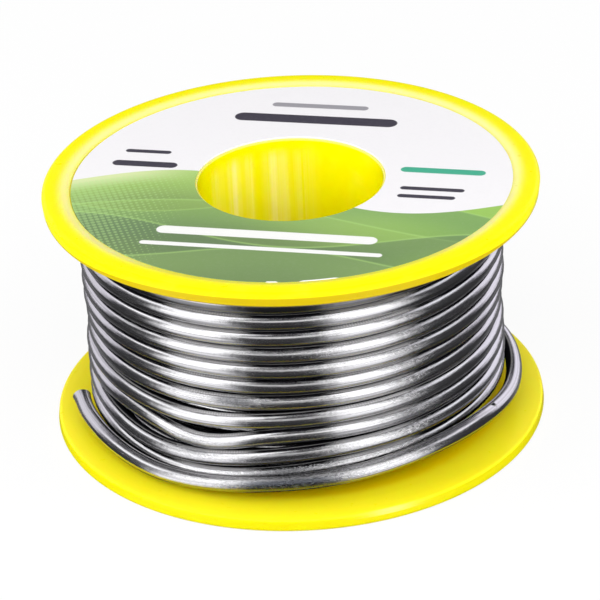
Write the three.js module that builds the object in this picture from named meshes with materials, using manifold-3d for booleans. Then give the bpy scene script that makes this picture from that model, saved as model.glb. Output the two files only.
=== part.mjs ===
// A small reel of flux-cored solder wire, standing on its lower flange.
// Millimetres, +Z up along the reel's axis, origin at the centre of the lower rim's resting face.
// The wire leaves the outer layer at the right, lies loosely round the front and ends at the left.

import * as THREE from 'three';
import { mergeVertices } from 'three/addons/utils/BufferGeometryUtils.js';
import Module from 'manifold-3d';

// Reel, moulded in two halves that plug together in the middle of the barrel
const REEL_HEIGHT = 31.6;
const FLANGE_RADIUS = 30.15; // of the upper half
const FOOT_EXTRA = 0.3; // that the lower flange reaches further out
const RIM_THICKNESS = 1.65;
const ROOT_THICKNESS = 2.3; // of a flange where it meets the barrel
const BORE_RADIUS = 11.3; // the spindle hole
const BORE_WALL = 1.8;
const BARREL_RADIUS = 17.2;
const BARREL_WALL = 1.3;
const FACE_WALL = 1.4; // of a flange behind its label, across the hollow of the barrel
const BEAD_WIDTH = 3.4; // from the upper flange's edge in to the label's recess
const BEAD_SLOPE = 1.3; // of that width, the bead's soft inner side
const CREST_ROUND = 0.55; // outer corner of the bead
const INNER_ROUND = 0.4; // corner of the rim beside the wire
const RECESS_DEPTH = 0.4;
const SOCKET_DEPTH = 5; // how far the upper half plugs into the lower
const SPIGOT_WALL = 0.9;
const SPIGOT_ROOT = 1.2; // collar that carries the spigot on the upper half
const WEB_COUNT = 6; // ribs in each half, between bore wall and barrel wall
const WEB_THICKNESS = 1.2;

// Labels, one in each flange's recess
const LABEL_THICKNESS = 0.15;
const LABEL_MARGIN = 0.15; // between a label and the edge of its recess
const LABEL_BARE = 0.25; // of the recess left bare between a label and the bore

// Solder wire
const WIRE_DIAMETER = 2;
const TURN_SLACK = 0.15; // between neighbouring turns, on average
const LAYER_COUNT = 5;
const EXIT_ANGLE = 58; // where the wire leaves the outer layer, degrees from +X towards +Y
const EXIT_RISE = 1.65; // of the wire there, from lying on the lower flange
const START_ANGLE = 90; // where the wire's first end goes in through the barrel, under the upper flange
const START_DROP = 0.5; // of that end from lying against the flange
const START_TUCK = 1.2; // of that end past the barrel's wall, into the hollow
const FLUX_DIAMETER = 0.75;
const FLUX_SHOWN = 2; // length of the flux that the tail's cut end holds

// Dents in the lower turns at the front left, where they were pulled down:
// turns up from the exit, depth, and half width in degrees
const DENTS = [
  [0.491, 1.9, 25],
  [1.481, 1.85, 22],
  [2.51, 1.65, 11],
  [3.5, 0.75, 18],
  [4.5, 0.25, 15],
];

// The loose end, past its straight run out of the layer: degrees, radius and height of the wire's centre
const TAIL_LEAD = [2.3, 4.2, 6.3]; // straight run, as distances from the exit
const TAIL_ROUTE = [
  [36, 26.1, 4.55],
  [28, 26.4, 4.65],
  [18, 26.6, 4.8],
  [8, 26.65, 4.9],
  [-4, 26.75, 4.95],
  [-16, 26.95, 5.15],
  [-26, 27.05, 5.55],
  [-38, 27.1, 6.05],
  [-50, 27.1, 6.15],
  [-62, 27.1, 5.95],
  [-74, 27.1, 5.5],
  [-86, 27.1, 5.1],
  [-98, 27.1, 4.7],
  [-110, 27.1, 4.2],
  [-120, 27.1, 3.8],
  [-130, 27.1, 3.6],
  [-140, 27.1, 3.75],
  [-150, 27.1, 4],
  [-160, 27.15, 4.15],
  [-166, 27.25, 4.2],
  [-173.5, 27.4, 4.2],
];

// Clearances
const PLUG_CLEARANCE = 0.15; // round the spigot in its socket
const WINDING_CLEARANCE = 0.3; // between the solder and the reel, and between layer and core
const TURN_GAP = 0.55; // kept between the turns of the outer layer, so each shows as its own
const HOLE_CLEARANCE = 0.3; // round the wire's first end in its hole
const FLUX_CLEARANCE = 0.06;
const TOUCH = 0.02; // between the flux and the floor of its pocket

// Faceting
const ROUND_SEGMENTS = 72;
const CORNER_STEPS = 3;
const LOOP_STEPS = 24;
const LOOP_SIDES = 6;
const TAIL_STEPS = 26;
const TAIL_SIDES = 8;
const WIRE_SIDES = 12;

// Sizes that follow from these
const turnPitch = WIRE_DIAMETER + TURN_SLACK;
const layerRise = Math.sqrt(WIRE_DIAMETER ** 2 - (turnPitch / 2) ** 2); // each layer nests in the last
const layerRadius = BARREL_RADIUS + WIRE_DIAMETER / 2 + (LAYER_COUNT - 1) * layerRise;
const turnRadius = (turnPitch - TURN_GAP) / 2;
const jointHeight = REEL_HEIGHT / 2;
const recessRadius = FLANGE_RADIUS - BEAD_WIDTH;
const hollowInner = BORE_RADIUS + BORE_WALL;
const hollowOuter = BARREL_RADIUS - BARREL_WALL;
const hollowFloor = RECESS_DEPTH + FACE_WALL;
const spigotOuter = hollowOuter - PLUG_CLEARANCE;
const spigotInner = spigotOuter - SPIGOT_WALL;

// Thickness of a flange at a radius: its inner face slopes from barrel to rim
function flangeThickness(radius) {
  const share = (FLANGE_RADIUS - radius) / (FLANGE_RADIUS - BARREL_RADIUS);
  return RIM_THICKNESS + (ROOT_THICKNESS - RIM_THICKNESS) * share;
}

// Heights of the wire's centre at its first end, where it leaves the layer, and at the layer's top
const startDepth = flangeThickness(BARREL_RADIUS) + WIRE_DIAMETER / 2 + START_DROP;
const startHeight = REEL_HEIGHT - startDepth;
const exitHeight = flangeThickness(layerRadius) + WIRE_DIAMETER / 2 + EXIT_RISE;
const topHeight = REEL_HEIGHT - flangeThickness(layerRadius) - WIRE_DIAMETER / 2;
const layerTurns = (topHeight - exitHeight) / turnPitch;

const plastic = new THREE.MeshStandardMaterial({ color: 0xfff000, roughness: 0.3, metalness: 0 });
const paper = new THREE.MeshStandardMaterial({ color: 0xf6f4f6, roughness: 0.45, metalness: 0 });
const solder = new THREE.MeshStandardMaterial({ color: 0xb9babd, roughness: 0.28, metalness: 1 });
const rosin = new THREE.MeshStandardMaterial({ color: 0xc98a2e, roughness: 0.2, metalness: 0 });

const wasm = await Module();
wasm.setup();

function polar(degrees, radius, height) {
  const angle = THREE.MathUtils.degToRad(degrees);
  return new THREE.Vector3(radius * Math.cos(angle), radius * Math.sin(angle), height);
}

// Positions and faces only, with shared vertices merged
function welded(geometry) {
  const bare = geometry.clone();
  bare.deleteAttribute('normal');
  bare.deleteAttribute('uv');
  return mergeVertices(bare);
}

function solid(geometry) {
  const bare = welded(geometry);
  const vertProperties = new Float32Array(bare.attributes.position.array);
  const triVerts = new Uint32Array(bare.index.array);
  return new wasm.Manifold(new wasm.Mesh({ numProp: 3, vertProperties, triVerts }));
}

function geometryOf(manifold) {
  const { vertProperties, triVerts } = manifold.getMesh();
  const geometry = new THREE.BufferGeometry();
  geometry.setAttribute('position', new THREE.BufferAttribute(vertProperties, 3));
  geometry.setIndex(new THREE.BufferAttribute(triVerts, 1));
  return geometry;
}

// A closed outline of [radius, height] points, anticlockwise, turned about the Z axis
function revolved(outline) {
  const closed = [...outline, outline[0]];
  const points = closed.map(([radius, height]) => new THREE.Vector2(radius, height));
  return new THREE.LatheGeometry(points, ROUND_SEGMENTS).rotateX(Math.PI / 2);
}

// The same outline for the part's other end: mirrored at mid height, and still anticlockwise
function mirrored(outline) {
  return outline.map(([radius, height]) => [radius, REEL_HEIGHT - height]).reverse();
}

// Quarter round from one end angle to the other, in degrees, about a centre of radius and height
function corner(radius, height, size, from, to) {
  return Array.from({ length: CORNER_STEPS + 1 }, (_, step) => {
    const angle = THREE.MathUtils.degToRad(from + ((to - from) * step) / CORNER_STEPS);
    return [radius + size * Math.cos(angle), height + size * Math.sin(angle)];
  });
}

// A flange of some radius, from the bore's edge out to the rim and back along the inner face
function flangeOutline(reach) {
  const crestInner = recessRadius + BEAD_SLOPE;
  const slopeFoot = RECESS_DEPTH - LABEL_THICKNESS;
  return [
    [BORE_RADIUS, RECESS_DEPTH],
    [recessRadius, RECESS_DEPTH],
    [recessRadius, slopeFoot],
    [recessRadius + BEAD_SLOPE / 2, slopeFoot / 4],
    [crestInner, 0],
    ...corner(reach - CREST_ROUND, CREST_ROUND, CREST_ROUND, -90, 0),
    ...corner(reach - INNER_ROUND, flangeThickness(reach) - INNER_ROUND, INNER_ROUND, 0, 90),
    [BARREL_RADIUS, flangeThickness(BARREL_RADIUS)],
  ];
}

// Ribs across the hollow of one half, between two heights
function withWebs(body, bottom, top) {
  const bite = BORE_WALL / 2;
  const length = hollowOuter - hollowInner + 2 * bite;
  const middle = (hollowInner + hollowOuter) / 2;
  let half = body;
  for (let index = 0; index < WEB_COUNT; index += 1) {
    const web = new THREE.BoxGeometry(length, WEB_THICKNESS, top - bottom);
    web.translate(middle, 0, (top + bottom) / 2);
    web.rotateZ((index * 2 * Math.PI) / WEB_COUNT);
    half = half.add(solid(web));
  }
  return half;
}

// A rod of the wire's kind lying along the radius that the wire's first end takes
function startRod(radius, inner, outer) {
  const rod = new THREE.CylinderGeometry(radius, radius, outer - inner, WIRE_SIDES);
  rod.rotateZ(Math.PI / 2);
  rod.translate((inner + outer) / 2, 0, startHeight);
  return rod.rotateZ(THREE.MathUtils.degToRad(START_ANGLE));
}

function lowerReelHalf() {
  const body = solid(revolved([
    ...flangeOutline(FLANGE_RADIUS + FOOT_EXTRA),
    [BARREL_RADIUS, jointHeight],
    [hollowOuter, jointHeight],
    [hollowOuter, hollowFloor],
    [hollowInner, hollowFloor],
    [hollowInner, jointHeight],
    [BORE_RADIUS, jointHeight],
  ]));
  const webTop = jointHeight - SOCKET_DEPTH - WINDING_CLEARANCE;
  return geometryOf(withWebs(body, hollowFloor - FACE_WALL / 2, webTop));
}

function upperReelHalf() {
  const body = solid(revolved(mirrored([
    ...flangeOutline(FLANGE_RADIUS),
    [BARREL_RADIUS, jointHeight],
    [spigotOuter, jointHeight],
    [spigotOuter, jointHeight + SOCKET_DEPTH],
    [spigotInner, jointHeight + SOCKET_DEPTH],
    [spigotInner, jointHeight - SPIGOT_ROOT],
    [hollowOuter, jointHeight - SPIGOT_ROOT],
    [hollowOuter, hollowFloor],
    [hollowInner, hollowFloor],
    [hollowInner, jointHeight],
    [BORE_RADIUS, jointHeight],
  ])));
  const webBottom = jointHeight + SPIGOT_ROOT;
  const ribbed = withWebs(body, webBottom, REEL_HEIGHT - hollowFloor + FACE_WALL / 2);
  const holeRadius = WIRE_DIAMETER / 2 + HOLE_CLEARANCE;
  const hole = solid(startRod(holeRadius, hollowOuter - BARREL_WALL, BARREL_RADIUS + BARREL_WALL));
  return geometryOf(ribbed.subtract(hole));
}

function labelOutline() {
  const inner = BORE_RADIUS + LABEL_BARE;
  const outer = recessRadius - LABEL_MARGIN;
  const face = RECESS_DEPTH - LABEL_THICKNESS;
  return [
    [inner, face],
    [outer, face],
    [outer, RECESS_DEPTH],
    [inner, RECESS_DEPTH],
  ];
}

// The layers under the outer one, as one ring, with the wire's first end reaching into the barrel
function innerLayers() {
  const inner = BARREL_RADIUS + WINDING_CLEARANCE;
  const reach = (layerRadius - turnRadius) * Math.cos(Math.PI / LOOP_STEPS);
  const outer = reach - WINDING_CLEARANCE;
  const side = (radius) => flangeThickness(radius) + WINDING_CLEARANCE;
  const ring = solid(revolved([
    [inner, side(inner)],
    [outer, side(outer)],
    [outer, REEL_HEIGHT - side(outer)],
    [inner, REEL_HEIGHT - side(inner)],
  ]));
  const start = solid(startRod(WIRE_DIAMETER / 2, hollowOuter - START_TUCK, inner + WIRE_DIAMETER / 2));
  return geometryOf(ring.add(start));
}

// Height of the outer layer's wire, a number of turns up from its exit
function layerHeight(turns) {
  let height = exitHeight + turnPitch * turns;
  for (const [centre, depth, width] of DENTS) {
    const away = ((turns - centre) * 360) / width;
    height -= depth * Math.exp(-(away ** 2) / 2);
  }
  return height;
}

// Centre of the outer layer's wire, from its exit up to its top end, with a straight run at each end
function layerPath() {
  const straight = 2 * turnRadius;
  const onLayer = (turns) => polar(EXIT_ANGLE + 360 * turns, layerRadius, layerHeight(turns));
  const points = [];
  for (let step = 0; step / LOOP_STEPS < layerTurns; step += 1) {
    points.push(onLayer(step / LOOP_STEPS));
  }
  points.push(onLayer(layerTurns));
  const out = polar(EXIT_ANGLE - 90, straight, 0);
  const back = polar(EXIT_ANGLE + 360 * layerTurns + 90, straight, 0);
  points.unshift(points[0].clone().add(out));
  points.push(points.at(-1).clone().add(back));
  return points;
}

// One unbroken tube along points that go round the Z axis, with its faces pointing out
function windingTube(path, radius, sides) {
  const positions = [];
  const index = [];
  path.forEach((point, ring) => {
    const before = path[Math.max(ring - 1, 0)];
    const after = path[Math.min(ring + 1, path.length - 1)];
    const along = after.clone().sub(before).normalize();
    const outward = new THREE.Vector3(along.y, -along.x, 0).normalize();
    const across = along.clone().cross(outward);
    for (let side = 0; side < sides; side += 1) {
      const angle = ((side + 0.5) * 2 * Math.PI) / sides;
      const corner = point.clone()
        .addScaledVector(outward, radius * Math.cos(angle))
        .addScaledVector(across, radius * Math.sin(angle));
      positions.push(corner.x, corner.y, corner.z);
      const next = (side + 1) % sides;
      if (ring > 0) {
        const near = (ring - 1) * sides;
        const far = ring * sides;
        index.push(near + side, near + next, far + side);
        index.push(near + next, far + next, far + side);
      }
    }
  });
  const last = (path.length - 1) * sides;
  for (let side = 1; side < sides - 1; side += 1) {
    index.push(0, side + 1, side);
    index.push(last, last + side, last + side + 1);
  }
  const geometry = new THREE.BufferGeometry();
  geometry.setAttribute('position', new THREE.Float32BufferAttribute(positions, 3));
  geometry.setIndex(index);
  return geometry;
}

// Least gap between stretches of a winding that lie half a loop or more apart along it
function leastGap(path, radius) {
  let least = Infinity;
  const segment = new THREE.Line3();
  const nearest = new THREE.Vector3();
  for (let here = 0; here < path.length; here += 1) {
    for (let there = here + LOOP_STEPS / 2; there + 1 < path.length; there += 1) {
      segment.set(path[there], path[there + 1]);
      segment.closestPointToPoint(path[here], true, nearest);
      least = Math.min(least, nearest.distanceTo(path[here]));
    }
  }
  return least - 2 * radius;
}

function outerLayer() {
  const path = layerPath();
  const gap = leastGap(path, turnRadius);
  console.log(`outer layer: ${layerTurns.toFixed(1)} turns, least gap to itself ${gap.toFixed(2)} mm`);
  return windingTube(path, turnRadius, LOOP_SIDES);
}

// The loose end's centre line, from a short gap past the layer's exit to the cut end
function tailCurve() {
  const exit = polar(EXIT_ANGLE, layerRadius, exitHeight);
  const ahead = polar(EXIT_ANGLE - 90, 1, 0);
  const lead = TAIL_LEAD.map((distance) => exit.clone().addScaledVector(ahead, distance));
  const route = TAIL_ROUTE.map(([degrees, radius, height]) => polar(degrees, radius, height));
  return new THREE.CatmullRomCurve3([...lead, ...route], false, 'centripetal');
}

// A rod of flux or its pocket, lying in the tail's cut end
function fluxRod(curve, radius, from, to) {
  const end = curve.getPointAt(1);
  const along = curve.getTangentAt(1);
  const rod = new THREE.CylinderGeometry(radius, radius, to - from, TAIL_SIDES);
  rod.translate(0, (from + to) / 2, 0);
  rod.applyQuaternion(new THREE.Quaternion().setFromUnitVectors(new THREE.Vector3(0, 1, 0), along));
  return rod.translate(end.x, end.y, end.z);
}

function solderTail() {
  const curve = tailCurve();
  const section = new THREE.Shape();
  section.setFromPoints(Array.from({ length: TAIL_SIDES }, (_, side) => {
    const angle = (side * 2 * Math.PI) / TAIL_SIDES;
    return new THREE.Vector2(Math.cos(angle), Math.sin(angle)).multiplyScalar(WIRE_DIAMETER / 2);
  }));
  const settings = { steps: TAIL_STEPS, bevelEnabled: false, extrudePath: curve };
  const wire = solid(new THREE.ExtrudeGeometry(section, settings));
  const pocket = solid(fluxRod(curve, FLUX_DIAMETER / 2, -FLUX_SHOWN, FLUX_SHOWN));
  return geometryOf(wire.subtract(pocket));
}

function fluxCore() {
  return fluxRod(tailCurve(), FLUX_DIAMETER / 2 - FLUX_CLEARANCE, TOUCH - FLUX_SHOWN, 0);
}

const reel = new THREE.Group();

function addPart(name, geometry, material) {
  const mesh = new THREE.Mesh(geometry, material);
  mesh.name = name;
  reel.add(mesh);
}

addPart('lower_reel_half', lowerReelHalf(), plastic);
addPart('upper_reel_half', upperReelHalf(), plastic);
addPart('lower_label', revolved(labelOutline()), paper);
addPart('upper_label', revolved(mirrored(labelOutline())), paper);
addPart('solder_inner_layers', innerLayers(), solder);
addPart('solder_outer_layer', outerLayer(), solder);
addPart('solder_tail', solderTail(), solder);
addPart('flux_core', fluxCore(), rosin);

export default reel;
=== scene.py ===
import math

import bmesh
import bpy
from mathutils import Matrix, Vector


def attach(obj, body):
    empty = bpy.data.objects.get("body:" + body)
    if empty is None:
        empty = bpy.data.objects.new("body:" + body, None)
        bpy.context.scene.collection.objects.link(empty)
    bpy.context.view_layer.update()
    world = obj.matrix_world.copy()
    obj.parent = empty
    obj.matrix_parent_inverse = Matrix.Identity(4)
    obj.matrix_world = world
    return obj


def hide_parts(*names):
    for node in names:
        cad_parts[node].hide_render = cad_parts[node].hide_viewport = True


mm = 0.001
wireDiameter = 2
turnPitch = 2.15  # from one turn of wire to the next

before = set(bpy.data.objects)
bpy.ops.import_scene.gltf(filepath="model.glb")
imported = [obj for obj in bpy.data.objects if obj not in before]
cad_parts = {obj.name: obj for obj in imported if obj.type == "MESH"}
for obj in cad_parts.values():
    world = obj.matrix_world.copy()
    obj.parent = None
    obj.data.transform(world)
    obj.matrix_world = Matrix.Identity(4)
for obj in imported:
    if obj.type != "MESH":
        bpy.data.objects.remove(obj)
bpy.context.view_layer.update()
print("frame loaded:", ", ".join(sorted(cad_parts)))


# sizes in the dictionaries are in millimetres and angles in degrees, unless a note says otherwise

cameraSettings = {  # fitted to the photograph's frame of 600 by 600
    "lens": 183.08,
    "sensorWidth": 36,
    "nearest": 0.01,  # m
    "farthest": 20,  # m
    "position": (0.4577, -332.180, 193.354),
    "right": (0.998822, -0.022999, -0.042722),
    "up": (0.048519, 0.473462, 0.879483),
}


def addCamera(settings):
    data = bpy.data.cameras.new("camera")
    data.sensor_fit = "HORIZONTAL"
    data.sensor_width = settings["sensorWidth"]
    data.lens = settings["lens"]
    data.clip_start = settings["nearest"]
    data.clip_end = settings["farthest"]
    camera = bpy.data.objects.new("camera", data)
    right = Vector(settings["right"]).normalized()
    up = (Vector(settings["up"]) - right * right.dot(Vector(settings["up"]))).normalized()
    back = right.cross(up)
    turn = Matrix((right, up, back)).transposed().to_4x4()
    camera.matrix_world = Matrix.Translation(Vector(settings["position"]) * mm) @ turn
    bpy.context.scene.collection.objects.link(camera)
    bpy.context.scene.camera = camera


addCamera(cameraSettings)
print("camera placed")


# node trees are written as Python sums

class Term:  # a socket that sums can use
    def __init__(self, net, socket):
        self.net = net
        self.socket = socket

    def __add__(self, other):
        return self.net.math("ADD", self, other)

    def __radd__(self, other):
        return self.net.math("ADD", other, self)

    def __sub__(self, other):
        return self.net.math("SUBTRACT", self, other)

    def __rsub__(self, other):
        return self.net.math("SUBTRACT", other, self)

    def __mul__(self, other):
        return self.net.math("MULTIPLY", self, other)

    def __truediv__(self, other):
        return self.net.math("DIVIDE", self, other)

    def __rtruediv__(self, other):
        return self.net.math("DIVIDE", other, self)


class Net:  # adds nodes and links to one tree
    def __init__(self, tree):
        self.tree = tree

    def add(self, kind, settings=None, inputs=None, output=0):
        node = self.tree.nodes.new(kind)
        for name, value in (settings or {}).items():
            setattr(node, name, value)
        for key, value in (inputs or {}).items():
            self.feed(node.inputs[key], value)
        return Term(self, node.outputs[output]) if node.outputs else None

    def feed(self, socket, value):
        if isinstance(value, Term):
            self.tree.links.new(value.socket, socket)
        else:
            socket.default_value = value

    def other(self, term, output):  # another output of the same node
        return Term(self, term.socket.node.outputs[output])

    def math(self, operation, *values):
        return self.add("ShaderNodeMath", {"operation": operation}, dict(enumerate(values)))

    def vector(self, operation, *values, output=0):
        inputs = {(3 if operation == "SCALE" and place else place): value
                  for place, value in enumerate(values)}  # the factor of SCALE is its fourth input
        return self.add("ShaderNodeVectorMath", {"operation": operation}, inputs, output)

    def split(self, vector):
        x = self.add("ShaderNodeSeparateXYZ", None, {0: vector})
        return x, self.other(x, 1), self.other(x, 2)

    def join(self, x, y, z):
        return self.add("ShaderNodeCombineXYZ", None, {0: x, 1: y, 2: z})

    def least(self, a, b):
        return self.math("MINIMUM", a, b)

    def most(self, a, b):
        return self.math("MAXIMUM", a, b)

    def size(self, a):
        return self.math("ABSOLUTE", a)

    def sine(self, a):
        return self.math("SINE", a)

    def cosine(self, a):
        return self.math("COSINE", a)

    def reach(self, a, b):  # length of the long side over a and b
        return self.math("SQRT", a * a + b * b)

    def angle(self, y, x):  # in degrees
        return self.math("ARCTAN2", y, x) * (180 / math.pi)

    def bell(self, value, middle, spread):  # 1 at the middle, falling like a normal curve
        away = (value - middle) / spread
        return self.math("EXPONENT", away * away * -0.5)

    def step(self, value, start, end):  # soft step from 0 at the start to 1 at the end
        settings = {"interpolation_type": "SMOOTHSTEP"}
        return self.add("ShaderNodeMapRange", settings, {0: value, 1: start, 2: end})

    def window(self, value, middle, half, softness):  # 1 inside a band with soft edges
        away = self.size(value - middle)
        return 1 - self.step(away, half - softness / 2, half + softness / 2)

    def mix(self, share, first, second):  # of colours
        return self.add("ShaderNodeMix", {"data_type": "RGBA"}, {0: share, 6: first, 7: second}, 2)

    def noise(self, place, scale=1, detail=2, roughness=0.5, seed=0, stretch=None):
        if stretch:  # place is then three values
            place = self.join(*(value * factor for value, factor in zip(place, stretch)))
        inputs = {"Vector": place, "W": seed, "Scale": scale, "Detail": detail, "Roughness": roughness}
        return self.add("ShaderNodeTexNoise", {"noise_dimensions": "4D"}, inputs)


def newMaterial(name):
    material = bpy.data.materials.new(name)
    material.use_nodes = True
    material.node_tree.nodes.clear()
    return material, Net(material.node_tree)


def finishMaterial(net, sockets, height, depth):  # sockets of the surface shader, and its bump
    bumpInputs = {"Strength": 1, "Distance": depth * mm, "Height": height}
    bump = net.add("ShaderNodeBump", None, bumpInputs)
    surface = net.add("ShaderNodeBsdfPrincipled", None, {**sockets, "Normal": bump})
    net.add("ShaderNodeOutputMaterial", {"target": "ALL"}, {"Surface": surface})


def placeInMm(net):
    place = net.add("ShaderNodeTexCoord", None, None, "Object")
    return net.vector("SCALE", place, 1 / mm)


plasticSettings = {
    "colour": (0.93, 0.84, 0.0, 1),
    # of painted highlights in the bore, on the upper rim and on the lower edge, and of a faint random mottle
    "paleColour": (1.0, 0.89, 0.33, 1),
    "litFaceColour": (1.0, 0.82, 0.015, 1),  # the lower flange's upper face, painted lighter and warmer as painted light
    "footShadowColour": (1.0, 0.66, 0.0, 1),  # painted shadow on that face by the wire
    "shadedSideColour": (0.68, 0.61, 0.0, 1),  # the lower flange's edge, painted darker as painted shade
    "edgeShadeColour": (0.50, 0.365, 0.0, 1),  # painted shade on the upper flange's edge
    "shadedColour": (0.62, 0.48, 0.0, 1),  # of the upper flange's under face
    "lipShadeColour": (0.26, 0.18, 0.0, 1),  # painted shade under the front of the upper flange's edge
    "speckColour": (0.10, 0.08, 0.01, 1),
    "roughness": 0.3,
    "ior": 1.53,
    "specular": 0.14,
    "subsurface": 0.5,
    "subsurfaceRadius": (1.0, 0.6, 0.06),
    "subsurfaceScale": 0.0022,  # m
    "bumpDepth": 0.02,
    # painted highlight streaks in the bore: degrees, spread, share
    "streaks": ((142.6, 3.2, 0.75), (128.2, 3.0, 0.95), (117.0, 1.8, 0.6),
                (100.7, 3.2, 0.8), (93.0, 1.6, 0.5), (81.7, 4.0, 0.45)),
    "specks": ((6.15, -9.66, 0.2), (3.9, -10.77, 0.16)),  # x, y, radius
    "speckFar": 5,  # what keeps them off everything under the upper edge
    "speckCore": 0.6,  # of a speck's radius that is full
    "boreEdge": (11.42, 0.16),  # painted highlight along the bore's edge: radius, spread
    "slope": (27.35, 0.5),  # painted highlight on the slope of the upper rim down to its label: radius, spread
    "glint": (-70.5, 3.5),  # painted glint on the lower flange's edge: degrees, spread
    "glintBand": (1.35, 0.3, 0.2),  # height, half height, softness
    "rimTop": 30.2,  # where the upper edge's side gives way to its crest
    "rimTopRise": 0.75,  # of it towards the front
    # how much of its colour each mark takes
    "shares": {"boreEdge": 0.6, "slope": 0.9, "mottle": 0.06, "rim": 0.9, "nearFoot": 0.75, "farFoot": 0.25,
               "glint": 0.5, "speck": 0.8, "slopeInFront": 0.75},
    # soft steps in radius, height, place along y or noise: where each is 0, and where it is 1
    "steps": {"inBore": (11.6, 11.45), "streakBottom": (15.5, 19.5), "streakTop": (30.4, 28.4),
              "flow": (0.25, 0.7), "mottle": (0.5, 0.85), "boreEdgeHeight": (30.9, 31.1),
              "outerFace": (31.2, 31.3), "frontSlope": (-17, -24), "front": (-14, -30),
              "rimRadius": (29.2, 29.4), "rimBottom": (29.4, 29.6), "rimTop": (0.15, -0.1),
              "lipHeight": (30.15, 29.85), "pastBarrel": (17, 18), "underBottom": (28.6, 28.8),
              "underTop": (30.25, 30.05),
              "faceBottom": (1.3, 1.5), "faceTop": (2.6, 2.4), "sideRadius": (30.0, 30.15),
              "sideTop": (1.5, 1.35), "nearFoot": (26.4, 25.0), "farFoot": (28.4, 26.2),
              "glintRadius": (29.95, 30.1), "speckHeight": (31, 30.6)},
    "flow": {"stretch": (0.35, 0.02, 1), "detail": 3, "seed": 2},
    "mottle": {"scale": 0.22, "detail": 3, "roughness": 0.55, "seed": 5},
    "flowLines": {"stretch": (1.4, 0.03, 0.4), "seed": 8},
    "rub": {"scale": 0.9, "detail": 5, "roughness": 0.6, "seed": 11},
    "grain": {"scale": 3.2, "detail": 4, "roughness": 0.6, "seed": 14},
    "roughen": {"rub": 0.16, "streaks": 0.12},
    "relief": {"grain": 0.5, "flowLines": 0.9, "mottle": 1.6},
}


def reelPlastic(settings):
    material, net = newMaterial("reelPlastic")
    place = placeInMm(net)
    x, y, z = net.split(place)
    radius = net.reach(x, y)
    degrees = net.angle(y, x)
    share = settings["shares"]

    def at(value, name):
        return net.step(value, *settings["steps"][name])

    # painted highlights: the bore's pale streaks, its edge and the upper rim's slope, and a faint random
    # mottle
    streaks = 0
    for middle, spread, strength in settings["streaks"]:
        streaks = net.bell(degrees, middle, spread) * strength + streaks
    flow = net.noise((degrees, z, 0), **settings["flow"])
    alongBore = at(z, "streakBottom") * at(z, "streakTop")
    streaks = streaks * at(radius, "inBore") * alongBore * at(flow, "flow")
    mottle = net.noise(place, **settings["mottle"])
    boreEdge = net.bell(radius, *settings["boreEdge"]) * at(z, "boreEdgeHeight")
    slope = net.bell(radius, *settings["slope"]) * at(z, "outerFace")
    slope = slope * (1 - at(y, "frontSlope") * share["slopeInFront"])
    pale = streaks + boreEdge * share["boreEdge"] + slope * share["slope"]
    pale = pale + at(mottle, "mottle") * share["mottle"]
    colour = net.mix(net.least(pale, 1), settings["colour"], settings["paleColour"])

    # painted shade on the upper flange's edge, under its front and on its under face
    front = at(y, "front")
    rimTop = front * settings["rimTopRise"] + settings["rimTop"]
    rimSide = at(radius, "rimRadius") * at(z, "rimBottom") * at(z - rimTop, "rimTop")
    underFace = at(radius, "pastBarrel") * at(z, "underBottom") * at(z, "underTop")
    colour = net.mix(rimSide * share["rim"], colour, settings["edgeShadeColour"])
    colour = net.mix(underFace, colour, settings["shadedColour"])
    colour = net.mix(rimSide * at(z, "lipHeight") * front, colour, settings["lipShadeColour"])

    # the lower flange's upper face painted lighter, its edge painted darker, a painted shadow by the wire and
    # a painted glint on the edge
    lowFace = at(z, "faceBottom") * at(z, "faceTop") * at(radius, "pastBarrel")
    lowSide = at(radius, "sideRadius") * at(z, "sideTop")
    footShadow = at(radius, "nearFoot") * share["nearFoot"] + at(radius, "farFoot") * share["farFoot"]
    glint = net.bell(degrees, *settings["glint"]) * at(radius, "glintRadius")
    glint = glint * net.window(z, *settings["glintBand"])
    colour = net.mix(lowFace, colour, settings["litFaceColour"])
    colour = net.mix(lowSide, colour, settings["shadedSideColour"])
    colour = net.mix(lowFace * footShadow, colour, settings["footShadowColour"])
    colour = net.mix(glint * share["glint"], colour, settings["paleColour"])

    speckMask = 0
    for speckX, speckY, size in settings["specks"]:
        offset = net.join(x - speckX, y - speckY, at(z, "speckHeight") * settings["speckFar"])
        away = net.vector("LENGTH", offset, output=1)
        speckMask = net.most(net.step(away, size, size * settings["speckCore"]), speckMask)
    colour = net.mix(speckMask * share["speck"], colour, settings["speckColour"])

    rub = net.noise(place, **settings["rub"])
    grain = net.noise(place, **settings["grain"])
    flowLines = net.noise((radius, degrees, z), **settings["flowLines"])
    rough, relief = settings["roughen"], settings["relief"]
    roughness = settings["roughness"] + (rub - 0.5) * rough["rub"] + streaks * rough["streaks"]
    height = grain * relief["grain"] + flowLines * relief["flowLines"] + mottle * relief["mottle"]
    sockets = {"Base Color": colour, "Roughness": roughness, "IOR": settings["ior"],
               "Specular IOR Level": settings["specular"], "Subsurface Weight": settings["subsurface"],
               "Subsurface Radius": settings["subsurfaceRadius"],
               "Subsurface Scale": settings["subsurfaceScale"]}
    finishMaterial(net, sockets, height, settings["bumpDepth"])
    return material


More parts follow.
